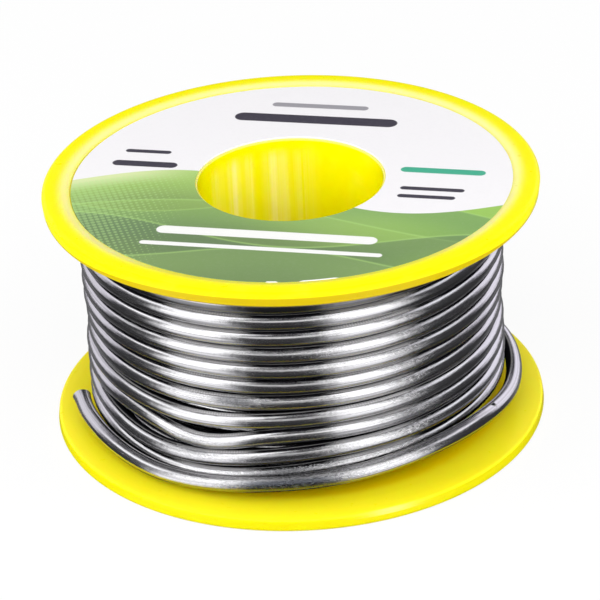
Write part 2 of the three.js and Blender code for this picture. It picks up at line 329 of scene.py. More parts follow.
labelSettings = {
    "paper": (0.89, 0.875, 0.895, 1),
    "fibreColour": (0.55, 0.53, 0.56, 1),
    "roughness": 0.34,
    "ior": 1.46,
    "bumpDepth": 0.012,
    "turn": -13,  # of the whole print on the reel
    "printRadius": 26.95,
    "printCentre": (0.15, -0.15),
    # white slivers at the print's edge: degrees, half width, softness
    "unprinted": ((-95.7, 1.5, 1.2), (-84.2, 4.8, 2.5)),
    "unprintedDepth": 0.42,
    "edge": 0.07,  # softness of printed edges
    "ink": (0.055, 0.05, 0.07, 1),
    "greyInk": (0.33, 0.32, 0.35, 1),
    "teal": (0.06, 0.42, 0.27, 1),
    "white": (0.90, 0.90, 0.88, 1),
    # bars in the print's own millimetres: centre u, centre w, half length, half height
    "inkBars": ((-0.2, 16.6, 10.4, 1.15), (-19.0, 5.2, 2.9, 0.45), (-18.6, 1.7, 4.1, 0.75),
                (17.6, -1.1, 3.9, 0.45), (17.2, -3.2, 3.5, 0.45)),
    "greyBars": ((-0.4, 20.6, 6.2, 0.6),),
    "tealBars": ((18.1, 3.9, 5.2, 0.7),),
    "whiteBars": ((0.3, -15.2, 13.2, 0.95), (0.3, -18.7, 14.4, 0.45)),
    # the green area lies under one long wave: how far left its crest is, half its length, its swing and level
    "shore": (12.5, 27, 4.2, -3.6),
    "nearGreen": (0.38, 0.59, 0.15, 1),
    "deepGreen": (0.155, 0.22, 0.095, 1),
    "rightGreen": (0.28, 0.54, 0.08, 1),
    "hazeGreen": (0.80, 0.87, 0.50, 1),
    "lineGreen": (0.45, 0.72, 0.22, 1),
    "dotGreen": (0.50, 0.78, 0.30, 1),
    # overlapping bands in the green: level, swing, length, phase, colour, share
    "bands": ((-7.5, 3.4, 9.0, 0.4, (0.15, 0.28, 0.13, 1), 0.55),
              (-11.0, 3.8, 12.0, 2.3, (0.33, 0.52, 0.13, 1), 0.45),
              (-15.0, 3.0, 8.0, 4.4, (0.13, 0.20, 0.11, 1), 0.55),
              (-20.5, 2.2, 7.0, 1.2, (0.24, 0.37, 0.13, 1), 0.6)),
    "bandFloor": 0.3,  # of a band's share that is left far below its crest
    "bandLine": 0.13,  # spread of the pale line along a crest
    "dotCell": 1.5,
    "dotLean": 0.5,
    "dotRadius": 0.34,  # of the largest dots
    "dotEdge": 0.6,  # of a printed edge's softness
    "shares": {"right": 0.5, "line": 0.45, "haze": 0.75, "dots": 0.35, "fibre": 0.06},
    # soft steps in u, in depth below a crest, in dot size or in noise: where each is 0, and where it is 1
    "steps": {"deep": (0, 14), "right": (6, 24), "bandFade": (9, 2), "haze": (-9, -21),
              "hazeDepth": (4.2, 0.2), "dotsGrow": (-6, -24), "dotsShow": (0.02, 0.1),
              "dotsStart": (0.8, 1.4), "fibre": (0.45, 0.8)},
    "fibre": {"scale": 2.6, "detail": 4, "roughness": 0.6, "seed": 3},
    "sheen": {"scale": 0.5, "detail": 3, "seed": 6},
    "roughen": 0.14,
}


def bars(net, u, w, rows, edge):  # mask of bars with round ends
    mask = 0
    for centreU, centreW, halfLength, halfHeight in rows:
        across = net.most(net.size(u - centreU) - (halfLength - halfHeight), 0)
        away = net.reach(across, w - centreW)
        mask = net.most(net.step(away, halfHeight + edge, halfHeight - edge), mask)
    return mask


def printedGreen(net, u, w, settings):  # the colour of the green area, and its mask
    edge, share = settings["edge"], settings["shares"]

    def at(value, name):
        return net.step(value, *settings["steps"][name])

    start, halfWave, swing, level = settings["shore"]
    below = net.cosine((u + start) * (math.pi / halfWave)) * swing + level - w
    colour = net.mix(at(below, "deep"), settings["nearGreen"], settings["deepGreen"])
    colour = net.mix(at(u, "right") * share["right"], colour, settings["rightGreen"])
    for level, swing, length, phase, tone, strength in settings["bands"]:
        depth = net.sine(u / length + phase) * swing + level - w
        fade = at(depth, "bandFade") * (1 - settings["bandFloor"]) + settings["bandFloor"]
        colour = net.mix(net.step(depth, -edge, edge) * fade * strength, colour, tone)
        line = net.bell(depth, 0, settings["bandLine"])
        colour = net.mix(line * share["line"], colour, settings["lineGreen"])
    colour = net.mix(at(u, "haze") * at(below, "hazeDepth") * share["haze"], colour, settings["hazeGreen"])

    # rows of pale dots that grow towards the left
    cell, lean = settings["dotCell"], settings["dotLean"]
    dotU = net.math("PINGPONG", u + w * lean, cell / 2) - cell / 4
    dotW = net.math("PINGPONG", w - u * lean, cell / 2) - cell / 4
    dotRadius = at(u, "dotsGrow") * settings["dotRadius"]
    outside = net.reach(dotU, dotW) - dotRadius
    dotEdge = edge * settings["dotEdge"]
    dots = net.step(outside, dotEdge, -dotEdge) * at(dotRadius, "dotsShow") * at(below, "dotsStart")
    colour = net.mix(dots * share["dots"], colour, settings["dotGreen"])
    colour = net.mix(bars(net, u, w, settings["whiteBars"], edge), colour, settings["white"])
    return colour, net.step(below, -edge, edge)


def labelPaper(settings):
    material, net = newMaterial("labelPaper")
    place = placeInMm(net)
    x, y, z = net.split(place)
    turn = math.radians(settings["turn"])
    u = x * math.cos(turn) + y * math.sin(turn)
    w = y * math.cos(turn) - x * math.sin(turn)
    edge = settings["edge"]
    green, isGreen = printedGreen(net, u, w, settings)
    colour = net.mix(isGreen, settings["paper"], green)
    for rows, ink in (("inkBars", "ink"), ("greyBars", "greyInk"), ("tealBars", "teal")):
        colour = net.mix(bars(net, u, w, settings[rows], edge), colour, settings[ink])

    # the print stops short of the label's cut edge
    centreX, centreY = settings["printCentre"]
    away = net.vector("LENGTH", net.join(x - centreX, y - centreY, 0), output=1)
    for middle, half, softness in settings["unprinted"]:
        away = net.window(net.angle(y, x), middle, half, softness) * settings["unprintedDepth"] + away
    printed = net.step(away, settings["printRadius"] + edge, settings["printRadius"] - edge)
    colour = net.mix(printed, settings["paper"], colour)

    fibre = net.noise(place, **settings["fibre"])
    sheen = net.noise(place, **settings["sheen"])
    fibreMask = net.step(fibre, *settings["steps"]["fibre"]) * settings["shares"]["fibre"]
    colour = net.mix(fibreMask, colour, settings["fibreColour"])
    roughness = settings["roughness"] + (sheen - 0.5) * settings["roughen"]
    sockets = {"Base Color": colour, "Roughness": roughness, "IOR": settings["ior"]}
    finishMaterial(net, sockets, fibre, settings["bumpDepth"])
    return material


solderSettings = {
    "bright": (0.90, 0.895, 0.905, 1),
    # painted shade on the lower side of each turn
    "under": (0.50, 0.495, 0.50, 1),
    "shade": (0.10, 0.098, 0.105, 1),
    # matt painted shade where neighbouring turns meet
    "gap": (0.006, 0.006, 0.008, 1),
    "openGap": (0.13, 0.125, 0.13, 1),  # lighter painted shade, where light reaches in between the turns
    # painted reflection of the turn above, matt grey on each turn's top
    "crest": (0.42, 0.41, 0.42, 1),
    # of draw lines and grit, and of painted dark reflection lines
    "dark": (0.16, 0.155, 0.165, 1),
    "scuff": (0.42, 0.415, 0.43, 1),
    "worn": (0.21, 0.215, 0.23, 1),
    # painted dark reflection on the loose end
    "darkReflection": (0.20, 0.215, 0.25, 1),
    "roughness": 0.19,
    "bumpDepth": 0.016,
    # a cut in the loose end: degrees, spread, height, spread
    "nick": (-32, 0.9, 7.2, 0.45),
    "nickRagged": 0.6,
    # rubbed places: degrees, height, spread in degrees, spread in height, share
    "rubs": ((-92, 4.6, 15, 1.6, 1.0), (-108, 14.6, 9, 0.7, 0.9), (-60, 10.0, 8, 2.2, 0.8),
             (-121, 7.6, 7, 1.1, 1.0), (-72, 7.0, 10, 1.2, 0.6),
             (-59, 17.0, 6, 5.0, 0.5), (-84, 20.5, 12, 1.4, 0.35)),
    "openSides": ((-115, 9.5, 9), (-70, 10.5, 9)),  # where the lamps reach in between the turns and the painted shade is lighter: degrees, half width, softness
    "openBelow": 0.34,  # how much less of a turn's underside is painted dark there
    "openAbove": 0.035,
    "darkReflectionSide": (-94, 11, 10),  # painted dark reflection on the loose end: degrees, half width, softness
    "ticks": (19, 9),  # breaks across the painted reflection on a crest: waves to a millimetre along, and slant
    "upperReflectionLine": (0.83, 0.02),  # a painted dark reflection line on each turn: how far up it faces, spread
    "lowerReflectionLine": (-0.22, 0.05),
    # how much of its colour each mark takes
    "shares": {"drawLines": 0.6, "fineLines": 0.4, "linesOnTop": 0.6, "worn": 0.8, "scuff": 0.3, "pits": 0.6,
               "speckle": 0.7, "shade": 0.8, "openShade": 0.65, "crest": 0.9, "ticks": 0.8, "reflectionLines": 0.6,
               "firstTurn": 0.75, "darkReflection": 0.85, "crestMatt": 0.6},
    # soft steps in noise, facing, radius or height: where each is 0, and where it is 1
    "steps": {"worn": (0.6, 0.9), "rubGrit": (0.36, 0.5), "scuff": (0.56, 0.70), "pits": (0.56, 0.70),
              "pitPatch": (0.56, 0.68), "under": (0.16, -0.32), "drawLines": (0.50, 0.64),
              "fineLines": (0.52, 0.72), "top": (0.15, 0.5), "wornGrit": (0.66, 0.5),
              "darkGrit": (0.46, 0.62), "nick": (0.35, 0.6), "nickRadius": (27.0, 27.2),
              "wound": (26.7, 26.3), "behind": (0.16, -0.02),
              "outerTurns": (24.4, 25.0), "below": (-0.46, -0.62), "above": (0.955, 0.995),
              "shade": (-0.30, -0.44), "ticks": (-0.2, 0.8), "tickPatch": (0.42, 0.58), "crest": (0.80, 0.88),
              "firstTurn": (26.8, 27.0), "firstTurnLow": (0.42, 0.14), "darkReflection": (0.86, 0.62)},
    # noises along the wire, and round the reel
    "drawLines": {"stretch": (0.02, 7, 7), "detail": 3, "roughness": 0.6, "seed": 1},
    "fineLines": {"stretch": (0.05, 22, 22), "detail": 2, "roughness": 0.6, "seed": 4},
    "patches": {"stretch": (0.055, 1.1, 1.1), "detail": 3, "roughness": 0.6, "seed": 9},
    "grit": {"stretch": (1.1, 6, 6), "detail": 3, "roughness": 0.7, "seed": 17},
    "pits": {"scale": 2.6, "detail": 4, "roughness": 0.75, "seed": 12},
    "dents": {"scale": 0.55, "detail": 2, "roughness": 0.5, "seed": 15},
    "roughen": {"drawLines": 0.22, "scuff": 0.14, "speckle": 0.10},
    "relief": {"fineLines": 0.4, "drawLines": 0.8, "dents": 2.2, "speckle": 2.4},
}


def brightSolder(settings):
    # wireMap holds the distance along the wire in mm, then how far a point faces outwards and upwards
    material, net = newMaterial("brightSolder")
    wireMap = net.add("ShaderNodeAttribute", {"attribute_name": "wireMap"}, None, "Vector")
    along, outward, upward = net.split(wireMap)
    place = placeInMm(net)
    x, y, z = net.split(place)
    radius = net.reach(x, y)
    degrees = net.angle(y, x)
    share = settings["shares"]

    def at(value, name):
        return net.step(value, *settings["steps"][name])

    # draw lines, rubs, scuffs and pits
    drawLines = net.noise((along, outward, upward), **settings["drawLines"])
    fineLines = net.noise((along, outward, upward), **settings["fineLines"])
    patches = net.noise((along, outward, upward), **settings["patches"])
    grit = net.noise((degrees, radius, z), **settings["grit"])
    pits = net.noise(place, **settings["pits"])
    dents = net.noise(place, **settings["dents"])
    rubbed = 0
    for middle, level, spread, heightSpread, strength in settings["rubs"]:
        spot = net.bell(degrees, middle, spread) * net.bell(z, level, heightSpread)
        rubbed = net.most(spot * strength, rubbed)
    worn = at(rubbed, "worn")
    scuffed = at(patches, "scuff")
    pitted = at(pits, "pits") * at(patches, "pitPatch") * share["pits"]
    speckled = net.most(pitted, rubbed * at(grit, "rubGrit"))
    lines = at(drawLines, "drawLines") * share["drawLines"] + at(fineLines, "fineLines") * share["fineLines"]
    lines = lines * (1 - at(upward, "top") * share["linesOnTop"])
    # painted shade: the lower side of each turn is darker
    colour = net.mix(at(upward, "under"), settings["bright"], settings["under"])
    colour = net.mix(lines, colour, settings["dark"])
    colour = net.mix(worn * at(grit, "wornGrit") * share["worn"], colour, settings["worn"])
    colour = net.mix(scuffed * share["scuff"], colour, settings["scuff"])
    colour = net.mix(speckled * at(grit, "darkGrit") * share["speckle"], colour, settings["dark"])
    rough, relief = settings["roughen"], settings["relief"]
    roughness = settings["roughness"] + (drawLines - 0.5) * rough["drawLines"]
    roughness = roughness + scuffed * rough["scuff"] + speckled * rough["speckle"]
    height = fineLines * relief["fineLines"] + drawLines * relief["drawLines"] + dents * relief["dents"]
    height = height + pits * scuffed + grit * speckled * relief["speckle"]

    # matt painted shade where neighbouring turns meet and on each turn's back, least where the lamps reach in
    # between them, and the dark cut of the nick
    wound = at(radius, "wound")
    behind = at(outward, "behind")
    isOpen = 0
    for middle, half, softness in settings["openSides"]:
        isOpen = net.window(degrees, middle, half, softness) + isOpen
    isOpen = isOpen * at(radius, "outerTurns") * (1 - behind)
    below = at(upward + isOpen * settings["openBelow"], "below")
    above = net.most(at(upward - isOpen * settings["openAbove"], "above"), behind) * wound
    nickMiddle, nickSpread, nickLevel, nickHeight = settings["nick"]
    nick = net.bell(degrees, nickMiddle, nickSpread) * net.bell(z, nickLevel, nickHeight)
    nick = at(nick + (grit - 0.5) * settings["nickRagged"], "nick") * at(radius, "nickRadius")
    gap = net.most(net.most(below, above), nick)
    shade = at(upward, "shade") * (share["shade"] - isOpen * share["openShade"])
    colour = net.mix(shade, colour, settings["shade"])
    # painted reflections of the neighbouring turns where the lamps reach in: a matt grey band on each turn's
    # top, broken across, and dark lines
    tickWaves, tickSlant = settings["ticks"]
    ticks = at(net.sine(along * tickWaves + upward * tickSlant), "ticks") * at(patches, "tickPatch")
    crest = at(upward, "crest") * wound * isOpen
    colour = net.mix(crest * (share["crest"] - ticks * share["ticks"]), colour, settings["crest"])
    reflectionLines = net.bell(upward, *settings["upperReflectionLine"]) * wound + net.bell(upward, *settings["lowerReflectionLine"])
    colour = net.mix(reflectionLines * isOpen * share["reflectionLines"], colour, settings["dark"])

    # painted shade on the first turn under the upper flange, and a painted dark reflection on the loose end
    # where nothing bright faces it
    firstTurn = at(z - degrees * (turnPitch / 360), "firstTurn") * wound * at(upward, "firstTurnLow")
    colour = net.mix(firstTurn * share["firstTurn"], colour, settings["shade"])
    darkReflection = (1 - wound) * net.window(degrees, *settings["darkReflectionSide"]) * at(upward, "darkReflection")
    colour = net.mix(darkReflection * share["darkReflection"], colour, settings["darkReflection"])
    colour = net.mix(gap, colour, net.mix(isOpen, settings["gap"], settings["openGap"]))
    metallic = 1 - net.most(gap, crest * share["crestMatt"])
    sockets = {"Base Color": colour, "Metallic": metallic, "Roughness": roughness, "Specular IOR Level": 0.0}
    finishMaterial(net, sockets, height, settings["bumpDepth"])
    return material


fluxSettings = {
    "darkAmber": (0.55, 0.27, 0.05, 1),
    "paleAmber": (0.80, 0.48, 0.12, 1),
    "cloud": {"scale": 4, "detail": 3, "seed": 7},
    "cloudStep": (0.3, 0.7),
    "roughness": 0.18,
    "roughen": 0.15,
    "ior": 1.54,
    "bumpDepth": 0.02,
}


def amberFlux(settings):
    material, net = newMaterial("amberFlux")
    cloud = net.noise(placeInMm(net), **settings["cloud"])
    cloudy = net.step(cloud, *settings["cloudStep"])
    colour = net.mix(cloudy, settings["darkAmber"], settings["paleAmber"])
    roughness = settings["roughness"] + cloud * settings["roughen"]
    sockets = {"Base Color": colour, "Roughness": roughness, "IOR": settings["ior"]}
    finishMaterial(net, sockets, cloud, settings["bumpDepth"])
    return material


plastic = reelPlastic(plasticSettings)
paper = labelPaper(labelSettings)
solder = brightSolder(solderSettings)
flux = amberFlux(fluxSettings)
print("materials made")


def addObject(name, data):
    piece = bpy.data.objects.new(name, data)
    bpy.context.scene.collection.objects.link(piece)
    return piece


def plainMesh(name, build):
    mesh = bpy.data.meshes.new(name)
    build.to_mesh(mesh)
    build.free()
    return mesh


def revolve(name, outline, segments, shift=None):
    # closed outline of (radius, height), turned about Z; shift moves a point's radius
    build = bmesh.new()
    rings = []
    for index in range(segments):
        angle = 2 * math.pi * index / segments
        ring = []
        for radius, height in outline:
            reach = radius + (shift(radius, height, angle) if shift else 0)
            x, y = reach * math.cos(angle) * mm, reach * math.sin(angle) * mm
            ring.append(build.verts.new((x, y, height * mm)))
        rings.append(ring)
    count = len(outline)
    for index in range(segments):
        here, there = rings[index], rings[(index + 1) % segments]
        for point in range(count):
            after = (point + 1) % count
            build.faces.new((here[point], there[point], there[after], here[after]))
    bmesh.ops.recalc_face_normals(build, faces=build.faces)
    return addObject(name, plainMesh(name, build))


def smooth(piece, sharpAngle=32):
    piece.data.shade_smooth()
    piece.data.set_sharp_from_angle(angle=math.radians(sharpAngle))


def finishTree(piece, tree, values):  # runs a geometry tree on a piece and keeps the plain mesh
    modifier = piece.modifiers.new("make", "NODES")
    modifier.node_group = tree
    sockets = {item.name: item.identifier for item in tree.interface.items_tree if item.in_out == "INPUT"}
    for name, value in values.items():
        modifier[sockets[name]] = value
    graph = bpy.context.evaluated_depsgraph_get()
    made = bpy.data.meshes.new_from_object(
        piece.evaluated_get(graph), preserve_all_data_layers=True, depsgraph=graph)
    piece.modifiers.clear()
    old = piece.data
    piece.data = made
    made.name = piece.name
    bpy.data.meshes.remove(old)


def newTree(name, inputs, takesGeometry=False):
    tree = bpy.data.node_groups.new(name, "GeometryNodeTree")
    tree.interface.new_socket(name="Geometry", in_out="OUTPUT", socket_type="NodeSocketGeometry")
    if takesGeometry:
        tree.interface.new_socket(name="Geometry", in_out="INPUT", socket_type="NodeSocketGeometry")
    for inputName, kind in inputs:
        tree.interface.new_socket(name=inputName, in_out="INPUT", socket_type="NodeSocket" + kind)
    net = Net(tree)
    entry = tree.nodes.new("NodeGroupInput")
    return tree, net, {socket.name: Term(net, socket) for socket in entry.outputs if socket.name}


def endTree(net, geometry, material):
    real = net.add("GeometryNodeRealizeInstances", None, {0: geometry})
    dressed = net.add("GeometryNodeSetMaterial", None, {"Geometry": real, "Material": material})
    exitNode = net.tree.nodes.new("NodeGroupOutput")
    net.feed(exitNode.inputs[0], dressed)


reelSettings = {
    "height": 31.6,
    "flangeRadius": 30.15,  # of the upper half
    "footExtra": 0.3,  # that the lower flange reaches further out
    "rimThickness": 1.65,
    "rootThickness": 2.3,
    "boreRadius": 11.3,
    "boreWall": 1.8,
    "barrelRadius": 17.2,
    "barrelWall": 1.3,
    "faceWall": 1.4,
    "beadWidth": 3.4,
    "beadSlope": 1.3,
    "beadSteps": 8,
    "crestRound": 0.55,
    "crestSteps": 9,
    "sideDraft": 0.1,  # that the rim's inner edge is set in from its crest
    "rimDrop": 0.2,  # that the upper rim is thicker than its flange
    "innerRound": 0.4,
    "innerArc": (15, 87, 5),  # first and last angle, steps
    "innerFaceRadii": (28.4, 22),
    "rootRound": 0.25,
    "boreRound": 0.14,
    "boreRoundSteps": 4,
    "boreRows": 9,
    "recessDepth": 0.4,
    "labelThickness": 0.15,
    "labelMargin": 0.15,
    "labelBare": 0.25,  # of the recess left bare between a label and the bore
    "labelAside": (0.15, -0.15),  # that the upper label's outer edge lies off centre
    "labelExtra": 0.15,  # that it reaches further out than the lower one
    "labelLift": 0.035,  # that it lies further out of its recess
    "labelRound": 0.04,
    "labelRings": 8,
    "jointGap": 0.01,
    "jointRound": 0.06,
    "socketDepth": 5,
    "spigotWall": 0.9,
    "spigotRoot": 1.2,
    "plugClearance": 0.15,
    "ribCount": 6,
    "ribThickness": 1.2,
    "ribSink": 0.7,  # into the face's wall
    "ribClearance": 0.3,  # under the spigot
    "holeRadius": 1.3,
    "holeReach": 1,  # from the barrel's face out to the middle of what cuts the hole
    "holeLength": 4,
    "holeSides": 32,
    "holeDrop": 1.5,  # from the upper flange to the wire's first end
    "holeAngle": 90,
    "noHole": -50,  # a height clear of the half that has none
    "segments": 240,
    "fluteDepth": 0.035,
    "fluteWidth": 0.8,  # of a pale streak's spread
    "fluteEnds": 1.5,  # that the flutes stop short of the bore's ends
}


def flangeThickness(radius):
    reel = reelSettings
    share = (reel["flangeRadius"] - radius) / (reel["flangeRadius"] - reel["barrelRadius"])
    return reel["rimThickness"] + (reel["rootThickness"] - reel["rimThickness"]) * share


def arc(radius, height, size, start, end, steps):
    points = []
    for step in range(steps + 1):
        angle = math.radians(start + (end - start) * step / steps)
        points.append((radius + size * math.cos(angle), height + size * math.sin(angle)))
    return points


def flangeOutline(reel, reach, drop=0):  # from the bore's edge out to the rim and back along the inner face
    recess = reel["flangeRadius"] - reel["beadWidth"]
    depth, crest, inner, edge = reel["recessDepth"], reel["crestRound"], reel["innerRound"], reel["boreRound"]
    slopeFoot = depth - reel["labelThickness"]
    points = arc(reel["boreRadius"] + edge, depth + edge, edge, 180, 270, reel["boreRoundSteps"])
    points += [(recess, depth), (recess, slopeFoot)]
    for step in range(1, reel["beadSteps"] + 1):
        share = step / reel["beadSteps"]
        rise = share * share * (3 - 2 * share)
        points.append((recess + reel["beadSlope"] * share, slopeFoot * (1 - rise)))
    points += arc(reach - crest, crest, crest, -90, 0, reel["crestSteps"])
    rim = flangeThickness(reach) + drop
    points += arc(reach - reel["sideDraft"] - inner, rim - inner, inner, *reel["innerArc"])
    points += [(radius, flangeThickness(radius)) for radius in reel["innerFaceRadii"]]
    root, rootHeight = reel["barrelRadius"], flangeThickness(reel["barrelRadius"])
    return points + [(root + reel["rootRound"], rootHeight), (root, rootHeight + reel["rootRound"])]


def halfTree(reel):  # a revolved half, with its ribs and the hole for the wire's first end
    tree, net, given = newTree("reelHalf", (
        ("Rib count", "Int"), ("Rib length", "Float"), ("Rib thickness", "Float"), ("Rib bottom", "Float"),
        ("Rib top", "Float"), ("Rib reach", "Float"), ("Hole radius", "Float"), ("Hole height", "Float"),
        ("Hole angle", "Float"), ("Hole reach", "Float")), takesGeometry=True)
    rise = given["Rib top"] - given["Rib bottom"]
    size = net.join(given["Rib length"], given["Rib thickness"], rise)
    rib = net.add("GeometryNodeMeshCube", None, {"Size": size})
    middle = net.join(given["Rib reach"], 0, (given["Rib top"] + given["Rib bottom"]) / 2)
    rib = net.add("GeometryNodeTransform", None, {"Geometry": rib, "Translation": middle})
    spots = net.add("GeometryNodePoints", None, {"Count": given["Rib count"]})
    index = net.add("GeometryNodeInputIndex")
    turn = net.join(0, 0, index * (2 * math.pi) / given["Rib count"])
    ribs = net.add("GeometryNodeInstanceOnPoints", None, {"Points": spots, "Instance": rib, "Rotation": turn})
    ribs = net.add("GeometryNodeRealizeInstances", None, {0: ribs})
    hole = net.add("GeometryNodeMeshCylinder", None, {
        "Vertices": reel["holeSides"], "Radius": given["Hole radius"], "Depth": reel["holeLength"] * mm})
    aside = net.join(net.cosine(given["Hole angle"]) * given["Hole reach"],
                     net.sine(given["Hole angle"]) * given["Hole reach"], given["Hole height"])
    lean = net.join(0, math.pi / 2, given["Hole angle"])
    hole = net.add("GeometryNodeTransform", None, {"Geometry": hole, "Translation": aside, "Rotation": lean})
    union = net.add("GeometryNodeMeshBoolean", {"operation": "UNION", "solver": "EXACT"},
                    {1: given["Geometry"]})
    net.tree.links.new(ribs.socket, union.socket.node.inputs[1])
    cut = net.add("GeometryNodeMeshBoolean", {"operation": "DIFFERENCE", "solver": "EXACT"},
                  {0: union, 1: hole})
    endTree(net, cut, plastic)
    return tree


def boreFlutes(radius, height, angle):  # shallow marks in the bore's wall, over the ribs behind it
    reel = reelSettings
    onBore = radius < reel["boreRadius"] + reel["jointRound"] / 2
    if not onBore or not reel["fluteEnds"] < height < reel["height"] - reel["fluteEnds"]:
        return 0
    depth = 0
    for middle, spread, strength in plasticSettings["streaks"]:
        away = (math.degrees(angle) - middle) / (spread * reel["fluteWidth"])
        depth += strength * math.exp(-away ** 2 / 2)
    return depth * reel["fluteDepth"]


def barrelHollow(reel):  # inner and outer radius of the hollow in the barrel's wall, and its floor
    inner = reel["boreRadius"] + reel["boreWall"]
    outer = reel["barrelRadius"] - reel["barrelWall"]
    return inner, outer, reel["recessDepth"] + reel["faceWall"]


def boreOutline(reel, joint):  # from the joint down the bore
    bore, edge, count = reel["boreRadius"], reel["jointRound"], reel["boreRows"]
    start, end = reel["height"] / 2, reel["recessDepth"] + reel["boreRound"]
    rows = [(bore, start + (end - start) * step / (count + 1)) for step in range(1, count + 1)]
    return [(bore + edge, joint), (bore, joint - edge)] + rows


def lowerOutline(reel):
    inner, outer, floor = barrelHollow(reel)
    joint = reel["height"] / 2 - reel["jointGap"]
    return flangeOutline(reel, reel["flangeRadius"] + reel["footExtra"]) + [
        (reel["barrelRadius"], joint), (outer, joint), (outer, floor), (inner, floor),
        (inner, joint)] + boreOutline(reel, joint)


def upperOutline(reel):
    inner, outer, floor = barrelHollow(reel)
    joint = reel["height"] / 2
    spigotOuter = outer - reel["plugClearance"]
    spigotInner = spigotOuter - reel["spigotWall"]
    spigotEnd, spigotRoot = joint + reel["socketDepth"], joint - reel["spigotRoot"]
    return turnedOver(reel, flangeOutline(reel, reel["flangeRadius"], reel["rimDrop"]) + [
        (reel["barrelRadius"], joint), (spigotOuter, joint), (spigotOuter, spigotEnd),
        (spigotInner, spigotEnd), (spigotInner, spigotRoot), (outer, spigotRoot),
        (outer, floor), (inner, floor), (inner, joint)] + boreOutline(reel, joint))


def turnedOver(reel, outline):  # the same outline for the upper side
    return [(radius, reel["height"] - height) for radius, height in reversed(outline)]


def makeHalves(reel):
    joint = reel["height"] / 2
    inner, outer, floor = barrelHollow(reel)
    tree = halfTree(reel)
    common = {
        "Rib count": reel["ribCount"],
        "Rib length": (outer - inner + reel["boreWall"]) * mm,
        "Rib thickness": reel["ribThickness"] * mm,
        "Rib reach": (inner + outer) / 2 * mm,
        "Hole reach": (reel["barrelRadius"] + reel["holeReach"]) * mm,
        "Hole radius": reel["holeRadius"] * mm,
        "Hole angle": math.radians(reel["holeAngle"]),
    }
    ribFoot = floor - reel["ribSink"]
    lowerRibTop = joint - reel["socketDepth"] - reel["ribClearance"]
    for name, node, outline, bottom, top, hole in (
            ("lowerReelHalf", "lower_reel_half", lowerOutline(reel), ribFoot, lowerRibTop, reel["noHole"]),
            ("upperReelHalf", "upper_reel_half", upperOutline(reel), joint + reel["spigotRoot"],
             reel["height"] - ribFoot, startHeight)):
        half = revolve(name, outline, reel["segments"], boreFlutes)
        finishTree(half, tree, {
            **common, "Rib bottom": bottom * mm, "Rib top": top * mm, "Hole height": hole * mm})
        smooth(half)
        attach(half, "root")
        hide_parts(node)
        half.visible_glossy = name == "lowerReelHalf"  # keeps the upper flange's yellow off the bright wire


startHeight = reelSettings["height"] - flangeThickness(reelSettings["barrelRadius"])
startHeight -= reelSettings["holeDrop"]  # of the wire's first end
makeHalves(reelSettings)
print("reel halves made")


def makeLabels(reel):
    inner = reel["boreRadius"] + reel["labelBare"]
    outer = reel["flangeRadius"] - reel["beadWidth"] - reel["labelMargin"]
    face = reel["recessDepth"] - reel["labelThickness"]
    edge, rings = reel["labelRound"], reel["labelRings"]
    for name, node, upper in (("lowerLabel", "lower_label", False), ("upperLabel", "upper_label", True)):
        reach = outer + upper * reel["labelExtra"]
        top = face - upper * reel["labelLift"]
        points = [(inner, top + edge), (inner + edge, top)]
        points += [(inner + (reach - inner) * step / rings, top) for step in range(1, rings)]
        points += [(reach - edge, top), (reach, top + edge)]
        points += [(reach, reel["recessDepth"]), (inner, reel["recessDepth"])]
        label = revolve(name, turnedOver(reel, points) if upper else points, reel["segments"])
        asideX, asideY = reel["labelAside"]
        for vertex in label.data.vertices if upper else ():
            share = (math.hypot(vertex.co.x, vertex.co.y) - inner * mm) / (reach - inner)
            vertex.co.x += asideX * share
            vertex.co.y += asideY * share
        label.data.materials.append(paper)
        smooth(label)
        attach(label, "root")
        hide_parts(node)


makeLabels(reelSettings)
print("labels made")


wireSettings = {
    "layerCount": 5,
    "exitAngle": 58,  # from +X, where the wire leaves the outer layer
    "exitRise": 1.65,
    "exitRun": 2.29,  # straight run past the exit, up to the loose end
    "lastRun": 1.6,
    "stepsPerTurn": 96,
    "sides": 18,
    "waver": 0.035,
    "waverWaves": ((2.3, 0.7, 1), (5.1, 2.0, 0.6), (14.7, 0, 0.3)),  # radians to a turn, phase, share
    "sway": (3.7, 1.1),  # of the layer's radius: radians to a turn, phase
    "waverStart": (0.1, 0.4),  # in turns: none where the loose end goes on
    "shift": 0.23,  # of the whole layer towards the left
    "slack": (0.05, 0.33, 4.95, 0.75),  # even inset and one waist in the layer: depth, turn, spread in turns
    # turns up from the exit, depth, spread in degrees
    "dents": ((0.491, 1.9, 25), (1.481, 1.85, 22), (2.51, 1.65, 11), (3.5, 0.75, 18), (4.5, 0.25, 15)),
}
wireRadius = wireDiameter / 2
layerRise = math.sqrt(wireDiameter ** 2 - (turnPitch / 2) ** 2)
layerRadius = reelSettings["barrelRadius"] + wireRadius + (wireSettings["layerCount"] - 1) * layerRise
exitHeight = flangeThickness(layerRadius) + wireRadius + wireSettings["exitRise"]
topHeight = reelSettings["height"] - flangeThickness(layerRadius) - wireRadius
layerTurns = (topHeight - exitHeight) / turnPitch


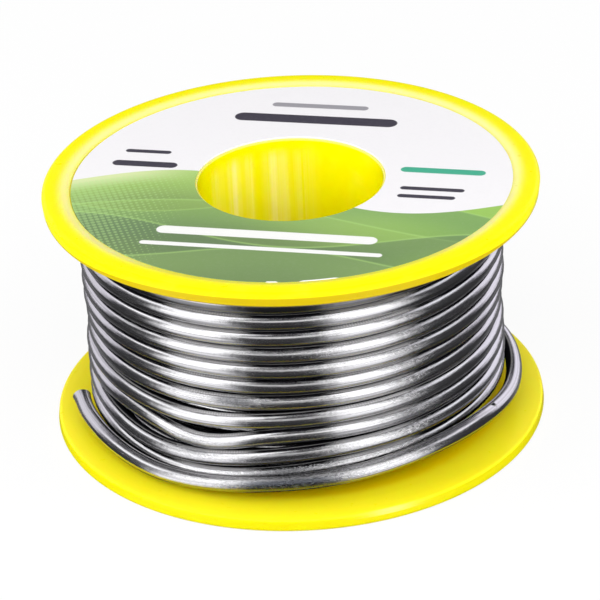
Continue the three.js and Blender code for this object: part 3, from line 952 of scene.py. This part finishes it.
def windingTree():  # one length of wire wound on the reel, from its named sizes
    names = ["Wire diameter", "Turn pitch", "Layer radius", "First angle", "First height", "Turns",
             "Way round", "First run", "Last run", "Steps per turn", "Waver", "Inset", "Waist",
             "Waist turn", "Waist width", "Shift"]
    dentPlaces = range(1, len(wireSettings["dents"]) + 1)
    for place in dentPlaces:
        names += [f"Dent {place} {word}" for word in ("turn", "depth", "width")]
    tree, net, given = newTree("wireWinding", [(name, "Float") for name in names] + [("Sides", "Int")])
    perTurn = given["Layer radius"] * (2 * math.pi)
    firstTurns = given["First run"] / perTurn
    allTurns = given["Turns"] + firstTurns + given["Last run"] / perTurn
    count = net.math("CEIL", allTurns * given["Steps per turn"]) + 1
    line = net.add("GeometryNodeMeshLine", None, {"Count": count})
    index = net.add("GeometryNodeInputIndex")
    spot = index * allTurns / (count - 1) - firstTurns  # in turns from the first end
    turns = net.least(net.most(spot, 0), given["Turns"])
    over = (spot - turns) * perTurn
    angle = given["First angle"] + turns * given["Way round"] * (2 * math.pi)
    height = given["First height"] + turns * given["Turn pitch"]
    for place in dentPlaces:
        dent = net.bell(turns, given[f"Dent {place} turn"], given[f"Dent {place} width"])
        height = height - dent * given[f"Dent {place} depth"]
    fade = net.step(turns, *wireSettings["waverStart"])
    waver = 0
    for rate, phase, share in wireSettings["waverWaves"]:
        waver = net.sine(turns * rate + phase) * share + waver
    height = height + waver * fade * given["Waver"]
    waist = net.bell(turns, given["Waist turn"], given["Waist width"]) * given["Waist"]
    rate, phase = wireSettings["sway"]
    change = net.sine(turns * rate + phase) * given["Waver"] - given["Inset"] - waist
    change = change - net.cosine(angle) * given["Shift"]
    radius = given["Layer radius"] + change * fade
    x = net.cosine(angle) * radius - net.sine(angle) * over * given["Way round"]
    y = net.sine(angle) * radius + net.cosine(angle) * over * given["Way round"]
    line = net.add("GeometryNodeSetPosition", None, {"Geometry": line, "Position": net.join(x, y, height)})
    curve = net.add("GeometryNodeMeshToCurve", None, {0: line})
    tube, read = tubeOnCurve(net, curve, given)
    out = net.vector("SUBTRACT", net.add("GeometryNodeInputPosition"), read["wireCentre"])
    out = net.vector("NORMALIZE", out)
    wayX, wayY = net.split(read["wireWay"])[:2]
    side = net.join(wayY * given["Way round"], wayX * given["Way round"] * -1, 0)
    outward = net.vector("DOT_PRODUCT", out, net.vector("NORMALIZE", side), output=1)
    upward = net.split(out)[2]
    wireMap = net.join(read["wireAlong"] / mm, outward, upward)
    tube = net.add("GeometryNodeStoreNamedAttribute", {"data_type": "FLOAT_VECTOR", "domain": "POINT"},
                   {"Geometry": tube, "Name": "wireMap", "Value": wireMap})
    for name in read:
        tube = net.add("GeometryNodeRemoveAttribute", None, {"Geometry": tube, "Name": name})
    endTree(net, tube, solder)
    return tree


def tubeOnCurve(net, curve, given):  # the tube, and what each of its points can read of the curve
    stored = (("FLOAT_VECTOR", "wireCentre", net.add("GeometryNodeInputPosition")),
              ("FLOAT_VECTOR", "wireWay", net.add("GeometryNodeInputTangent")),
              ("FLOAT", "wireAlong", net.other(net.add("GeometryNodeSplineParameter"), "Length")))
    for kind, name, value in stored:
        curve = net.add("GeometryNodeStoreNamedAttribute", {"data_type": kind, "domain": "POINT"},
                        {"Geometry": curve, "Name": name, "Value": value})
    ringSizes = {"Resolution": given["Sides"], "Radius": given["Wire diameter"] / 2}
    ring = net.add("GeometryNodeCurvePrimitiveCircle", None, ringSizes)
    tubeParts = {"Curve": curve, "Profile Curve": ring, "Fill Caps": True}
    tube = net.add("GeometryNodeCurveToMesh", None, tubeParts)
    read = {name: net.add("GeometryNodeInputNamedAttribute", {"data_type": kind}, {"Name": name})
            for kind, name, value in stored}
    return tube, read


def wind(tree, name, sizes):
    wire = wireSettings
    values = {"Wire diameter": wireDiameter * mm, "Turn pitch": turnPitch * mm, "Way round": 1.0,
              "First run": 0.0, "Last run": 0.0, "Steps per turn": float(wire["stepsPerTurn"]),
              "Sides": wire["sides"], "Waver": wire["waver"] * mm, "Inset": 0.0, "Waist": 0.0,
              "Waist turn": 0.0, "Waist width": 1.0, "Shift": 0.0}
    for place in range(1, len(wire["dents"]) + 1):
        values.update({f"Dent {place} turn": 0.0, f"Dent {place} depth": 0.0, f"Dent {place} width": 1.0})
    values.update(sizes)
    winding = addObject(name, bpy.data.meshes.new(name))
    finishTree(winding, tree, values)
    smooth(winding)
    return winding


def makeOuterLayer(tree):
    wire = wireSettings
    inset, waist, waistTurn, waistWidth = wire["slack"]
    sizes = {"Layer radius": layerRadius * mm, "First angle": math.radians(wire["exitAngle"]),
             "First height": exitHeight * mm, "Turns": layerTurns, "First run": wire["exitRun"] * mm,
             "Last run": wire["lastRun"] * mm, "Shift": wire["shift"] * mm, "Inset": inset * mm,
             "Waist": waist * mm, "Waist turn": waistTurn, "Waist width": waistWidth}
    for place, (turn, depth, width) in enumerate(wire["dents"], 1):
        sizes[f"Dent {place} turn"] = turn
        sizes[f"Dent {place} depth"] = depth * mm
        sizes[f"Dent {place} width"] = width / 360
    layer = wind(tree, "outerLayer", sizes)
    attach(layer, "root")
    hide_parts("solder_outer_layer")


innerSettings = {
    "radius": 22.93,  # of the layer under the outer one
    "clearance": 1.05,  # from the flanges to the wire's centre
    "firstAngle": -75,
    "turnParts": 24,  # the layer ends after a whole number of these parts of a turn
    "stepsPerTurn": 64,
    "sides": 12,
    "coreInner": 17.5,
    "coreInset": 1.1,  # of the core's outer radius from the wire's centre
    "coreGap": 0.3,  # to the flanges
    "coreSegments": 96,
    "startReach": 16.1,  # from the axis to the middle of the wire's first end
    "startLength": 2.7,
    "startSides": 16,
}


def makeInnerLayers(tree, inner):
    reelHeight, radius, gap = reelSettings["height"], inner["radius"], inner["coreGap"]
    top = reelHeight - flangeThickness(radius) - inner["clearance"]
    bottom = flangeThickness(radius) + inner["clearance"]
    turns = math.floor((top - bottom) / turnPitch * inner["turnParts"]) / inner["turnParts"]
    layer = wind(tree, "innerLayers", {
        "Layer radius": radius * mm, "First angle": math.radians(inner["firstAngle"]),
        "First height": top * mm, "Turn pitch": -turnPitch * mm, "Turns": turns,
        "Steps per turn": float(inner["stepsPerTurn"]), "Sides": inner["sides"], "Waver": 0.0})
    near, far = inner["coreInner"], radius - inner["coreInset"]
    nearFoot, farFoot = flangeThickness(near) + gap, flangeThickness(far) + gap
    outline = [(near, nearFoot), (far, farFoot), (far, reelHeight - farFoot), (near, reelHeight - nearFoot)]
    core = revolve("innerCore", outline, inner["coreSegments"])
    start = startRod(inner)
    joined = bmesh.new()
    for part in (layer, core, start):
        joined.from_mesh(part.data)
    joined.to_mesh(layer.data)
    joined.free()
    for part in (core, start):
        bpy.data.objects.remove(part)
    smooth(layer)
    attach(layer, "root")
    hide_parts("solder_inner_layers")


def startRod(inner):  # the wire's first end, through the barrel's hole
    build = bmesh.new()
    turn = Matrix.Rotation(math.radians(reelSettings["holeAngle"]), 4, "Z")
    turn = turn @ Matrix.Translation((inner["startReach"] * mm, 0, startHeight * mm))
    turn = turn @ Matrix.Rotation(math.pi / 2, 4, "Y")
    bmesh.ops.create_cone(build, cap_ends=True, segments=inner["startSides"], radius1=wireRadius * mm,
                          radius2=wireRadius * mm, depth=inner["startLength"] * mm, matrix=turn)
    return addObject("startRod", plainMesh("startRod", build))


windings = windingTree()
makeOuterLayer(windings)
makeInnerLayers(windings, innerSettings)
print("winding made")


tailSettings = {  # the wire's loose end, and the flux in its cut
    "lead": (2.3, 4.2, 6.3),  # straight run, as distances from the exit
    # degrees, radius and height of the wire's centre
    "route": ((36, 26.1, 4.55), (28, 26.4, 4.65), (18, 26.6, 4.8), (8, 26.65, 4.9), (-4, 26.75, 4.95),
              (-16, 26.95, 5.15), (-26, 27.05, 5.55), (-38, 27.1, 6.05), (-50, 27.1, 6.15), (-62, 27.1, 5.95),
              (-74, 27.1, 5.5), (-86, 27.1, 5.1), (-98, 27.1, 4.7), (-110, 27.1, 4.2), (-120, 27.1, 3.8),
              (-130, 27.1, 3.6), (-140, 27.1, 3.75), (-150, 27.1, 4), (-160, 27.15, 4.15), (-166, 27.25, 4.2),
              (-173.5, 27.4, 4.2)),
    "length": 106.4,
    "sides": 24,
    "stretchSteps": 24,  # between two points of the route
    "spacing": 0.3,  # between the tube's rings
    "pathStep": 8,  # rings from one point of the cord's path to the next
    "pinch": (2.2, 0.10, 0.12),  # length, flattening and flare at the cut
    "burr": (0.03, 0.93),  # how far the cut face stands out, its share of the wire's radius
    "sharpAngle": 40,
    "fluxDiameter": 0.75,
    "fluxShown": 2,
    "fluxClearance": 0.02,
    "fluxRound": 0.06,
    "fluxSides": 20,
}


def polar(degrees, radius, height):
    angle = math.radians(degrees)
    return Vector((radius * math.cos(angle), radius * math.sin(angle), height))


def tailPoints(tail):
    away = polar(wireSettings["exitAngle"] - 90, 1, 0)
    start = polar(wireSettings["exitAngle"], layerRadius, exitHeight)
    return [start + away * distance for distance in tail["lead"]] + [polar(*spot) for spot in tail["route"]]


def wayThrough(before, here, after, gapBefore, gapAfter):  # of a curve whose speed follows the points' gaps
    return (here - before) / gapBefore - (after - before) / (gapBefore + gapAfter) + (after - here) / gapAfter


def centripetalCurve(points, steps):  # smooth line through points
    line = []
    count = len(points)
    for place in range(count - 1):
        second, third = points[place], points[place + 1]
        first = points[place - 1] if place else second * 2 - third
        fourth = points[place + 2] if place + 2 < count else third * 2 - second
        gaps = [(after - here).length ** 0.5
                for here, after in ((first, second), (second, third), (third, fourth))]
        startWay = wayThrough(first, second, third, gaps[0], gaps[1]) * gaps[1]
        endWay = wayThrough(second, third, fourth, gaps[1], gaps[2]) * gaps[1]
        for step in range(steps):
            t = step / steps
            line.append(second * (2 * t ** 3 - 3 * t ** 2 + 1) + startWay * (t ** 3 - 2 * t ** 2 + t)
                        + third * (3 * t ** 2 - 2 * t ** 3) + endWay * (t ** 3 - t ** 2))
    line.append(points[-1].copy())
    return line


def evenly(line, spacing):  # the same line with points an even distance apart, and its length
    lengths = [0]
    for before, after in zip(line, line[1:]):
        lengths.append(lengths[-1] + (after - before).length)
    count = round(lengths[-1] / spacing)
    even, place = [], 0
    for step in range(count + 1):
        goal = lengths[-1] * step / count
        while place < len(line) - 2 and lengths[place + 1] < goal:
            place += 1
        share = (goal - lengths[place]) / (lengths[place + 1] - lengths[place])
        even.append(line[place].lerp(line[place + 1], min(max(share, 0), 1)))
    return even, lengths[-1]


def addRing(build, sides, centre, way, wide, thin, along):  # across the wire, with its place in wireMap
    mapLayer = build.verts.layers.float_vector["wireMap"]
    side = Vector((-way.y, way.x, 0)).normalized()  # outwards, as the tail runs clockwise
    rise = way.cross(side).normalized()
    if rise.z < 0:
        rise = -rise
    ring = []
    for index in range(sides):
        angle = 2 * math.pi * index / sides
        out, up = math.cos(angle), math.sin(angle)
        vertex = build.verts.new((centre + side * out * wide + rise * up * thin) * mm)
        vertex[mapLayer] = (-along, out, up)
        ring.append(vertex)
    return ring


def tailTube(tail, line, length):
    build = bmesh.new()
    build.verts.layers.float_vector.new("wireMap")
    sides, last = tail["sides"], len(line) - 1
    pinchLength, flatten, flare = tail["pinch"]

    def addPinched(centre, way, radius, along):
        left = max(0, 1 - (length - along) / pinchLength)
        wide, thin = radius * (1 + flare * left * left), radius * (1 - flatten * left * left)
        return addRing(build, sides, centre, way, wide, thin, along)

    rings = []
    for place, centre in enumerate(line):
        way = (line[min(place + 1, last)] - line[max(place - 1, 0)]).normalized()
        rings.append(addPinched(centre, way, wireRadius, length * place / last))
    first = rings[0]

    # cut face round the flux, with a small burr outside and the pocket inside
    way = (line[-1] - line[-2]).normalized()
    pocket = tail["fluxDiameter"] / 2
    burr, burrShare = tail["burr"]
    rings.append(addPinched(line[-1] + way * burr, way, wireRadius * burrShare, length))
    for depth in (0, tail["fluxShown"]):
        rings.append(addRing(build, sides, line[-1] - way * depth, way, pocket, pocket, length))
    for here, there in zip(rings, rings[1:]):
        for index in range(sides):
            after = (index + 1) % sides
            build.faces.new((here[index], here[after], there[after], there[index]))
    build.faces.new(first)
    build.faces.new(rings[-1])
    bmesh.ops.recalc_face_normals(build, faces=build.faces)
    return plainMesh("looseEnd", build)


def fluxRod(tail, end, way):
    build = bmesh.new()
    length = tail["fluxShown"] - tail["fluxClearance"]
    radius = (tail["fluxDiameter"] / 2 - tail["fluxClearance"]) * mm
    turn = way.to_track_quat("Z", "Y").to_matrix().to_4x4()
    place = Matrix.Translation((end - way * (length / 2)) * mm) @ turn
    bmesh.ops.create_cone(build, cap_ends=True, segments=tail["fluxSides"], radius1=radius, radius2=radius,
                          depth=length * mm, matrix=place)
    edges = [edge for edge in build.edges if edge.calc_face_angle(0) > 1]  # round its two ends
    bmesh.ops.bevel(build, geom=edges, offset=tail["fluxRound"] * mm, segments=2, affect="EDGES")
    return plainMesh("fluxCore", build)


def makeTail(tail):
    points = tailPoints(tail)
    line, length = evenly(centripetalCurve(points, tail["stretchSteps"]), tail["spacing"])
    looseEnd = addObject("looseEnd", tailTube(tail, line, length))
    looseEnd.data.materials.append(solder)
    smooth(looseEnd, tail["sharpAngle"])
    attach(looseEnd, "root")
    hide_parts("solder_tail")

    fluxCore = addObject("fluxCore", fluxRod(tail, line[-1], (line[-1] - line[-2]).normalized()))
    fluxCore.data.materials.append(flux)
    smooth(fluxCore, tail["sharpAngle"])
    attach(fluxCore, "root")
    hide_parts("flux_core")

    path = [point * mm for point in line[::tail["pathStep"]] + [line[-1]]]
    points[0] * mm
    print("loose end:", round(length, 2), "mm")


makeTail(tailSettings)


studioSettings = {  # floor, world and lamps
    "ambient": 0.40,
    "floorWhite": 0.92,
    "floorWarmth": 0.99,  # of its red and green in the tint that it is mottled with
    "floorShare": 0.90,  # of plain white in what the camera sees of the floor
    "floorRadius": 4000,
    "floorDrop": 0.02,
    "floorGrain": {"scale": 0.05, "detail": 3, "seed": 1},
    # name, degrees round from the camera, degrees up, distance, width, height (m), brightness
    "lamps": (
        ("frontFill", 0, 38, 0.60, 0.60, 0.45, 3.00),
        ("lowFill", 0, 20, 0.60, 0.60, 0.25, 1.00),
        ("leftFill", -80, 24, 0.60, 0.50, 0.40, 3.80),
        ("rightFill", 76, 26, 0.60, 0.50, 0.40, 2.50),
    ),
    "aimHeight": 16,
}

# what bright metal shows: a dim room with broad panels of light, and its ground
roomSettings = {
    "radius": 900,
    "groundDrop": 0.01,
    "wallTone": (0.035, 0.0345, 0.038, 1),
    "groundTone": (0.035, 0.035, 0.037, 1),
    "groundLit": (1.0, 1.0, 1.03, 1),
    # panels: degrees round from the camera, half width, degrees up, half height, softness, colour
    "panels": (
        (-140, 28, 19, 23, 14, (0.70, 0.68, 0.75, 1)),
        (140, 28, 18, 24, 14, (0.84, 0.81, 0.91, 1)),
        (-97, 26, 43, 9, 8, (1.10, 1.10, 1.13, 1)),
        (97, 26, 43, 9, 8, (1.00, 0.99, 1.06, 1)),
        (-3, 30, 31, 6, 11, (1.15, 1.15, 1.15, 1)),
        (-55, 18, 26, 50, 14, (1.45, 1.45, 1.47, 1)),
        (36, 18, 28, 50, 14, (1.50, 1.50, 1.52, 1)),
    ),
    "groundPanels": ((-28.5, 10.5, 8), (20, 10.5, 9)),  # degrees round the wire, half width, softness
    "groundBehind": (0, 66, 12),  # faintly lit outside this
    "behindShare": 0.12,
    "wireReach": 26,  # radius of the wire that shows the ground
    "groundStart": (30, 34),  # radii between which the lit ground starts
}


def seenShare(net):  # 1 for camera, glossy and transmission rays
    path = net.add("ShaderNodeLightPath", None, None, "Is Camera Ray")
    return net.least(path + net.other(path, "Is Glossy Ray") + net.other(path, "Is Transmission Ray"), 1)


def addDisc(name, radius, drop, segments):
    build = bmesh.new()
    bmesh.ops.create_circle(build, cap_ends=True, segments=segments, radius=radius * mm)
    for vertex in build.verts:
        vertex.co.z = -drop * mm
    return addObject(name, plainMesh(name, build))


def makeFloor(studio):
    material, net = newMaterial("paleFloor")
    grain = net.noise(placeInMm(net), **studio["floorGrain"])
    level, warm = studio["floorWhite"], studio["floorWhite"] * studio["floorWarmth"]
    tone = net.mix(grain, (level, level, level, 1), (warm, warm, level, 1))
    card = net.add("ShaderNodeBsdfDiffuse", None, {"Color": tone})
    glow = net.add("ShaderNodeEmission", None, {"Color": (1, 1, 1, 1), "Strength": 1.0})
    both = net.add("ShaderNodeMixShader", None, {0: seenShare(net) * studio["floorShare"], 1: card, 2: glow})
    net.add("ShaderNodeOutputMaterial", None, {"Surface": both})
    floor = addDisc("floor", studio["floorRadius"], studio["floorDrop"], 96)
    floor.data.materials.append(material)


def makeWorld(studio):
    world = bpy.data.worlds.new("studio")
    world.use_nodes = True
    world.node_tree.nodes.clear()
    net = Net(world.node_tree)
    strength = seenShare(net) * (1 - studio["ambient"]) + studio["ambient"]
    light = net.add("ShaderNodeBackground", None, {"Color": (1, 1, 1, 1), "Strength": strength})
    net.add("ShaderNodeOutputWorld", None, {"Surface": light})
    bpy.context.scene.world = world


def makeLamps(studio):
    centre = Vector((0, 0, studio["aimHeight"] * mm))
    for name, around, up, distance, width, height, brightness in studio["lamps"]:
        data = bpy.data.lights.new(name, "AREA")
        data.shape = "RECTANGLE"
        data.size, data.size_y = width, height
        data.energy = brightness * math.pi * width * height
        lamp = addObject(name, data)
        aim = polar(around - 90, math.cos(math.radians(up)), math.sin(math.radians(up)))
        turn = (-aim).to_track_quat("-Z", "Y").to_matrix().to_4x4()
        lamp.matrix_world = Matrix.Translation(aim * distance + centre) @ turn
        lamp.visible_glossy = False


def onlyReflected(piece, material, net, glow):  # part of the stage that only reflections show
    light = net.add("ShaderNodeEmission", None, {"Color": glow, "Strength": 1.0})
    net.add("ShaderNodeOutputMaterial", None, {"Surface": light})
    piece.data.materials.append(material)
    piece.visible_camera = False
    piece.visible_diffuse = False
    piece.visible_shadow = False
    piece.visible_transmission = False


def makeRoom(room):
    material, net = newMaterial("roomWall")
    x, y, z = net.split(placeInMm(net))
    around = net.angle(x, y * -1)
    up = net.angle(z, net.reach(x, y))
    glow = room["wallTone"]
    for side, halfWidth, level, halfHeight, softness, colour in room["panels"]:
        share = net.window(around, side, halfWidth, softness) * net.window(up, level, halfHeight, softness)
        glow = net.mix(share, glow, colour)
    build = bmesh.new()
    bmesh.ops.create_uvsphere(build, u_segments=64, v_segments=32, radius=room["radius"] * mm)
    onlyReflected(addObject("room", plainMesh("room", build)), material, net, glow)


def makeGround(room):
    material, net = newMaterial("roomGround")
    x, y, z = net.split(placeInMm(net))
    away = net.reach(x, y)
    around = net.angle(x, y * -1) / (2 - room["wireReach"] / away)  # of the wire that shows this spot
    lit = (1 - net.window(around, *room["groundBehind"])) * room["behindShare"]
    for panel in room["groundPanels"]:
        lit = net.window(around, *panel) + lit
    share = net.least(lit, 1) * net.step(away, *room["groundStart"])
    glow = net.mix(share, room["groundTone"], room["groundLit"])
    ground = addDisc("ground", room["radius"], room["groundDrop"], 64)
    onlyReflected(ground, material, net, glow)


makeWorld(studioSettings)
makeFloor(studioSettings)
makeLamps(studioSettings)
makeRoom(roomSettings)
makeGround(roomSettings)
bpy.context.scene.view_settings.view_transform = "Standard"
print("studio made")
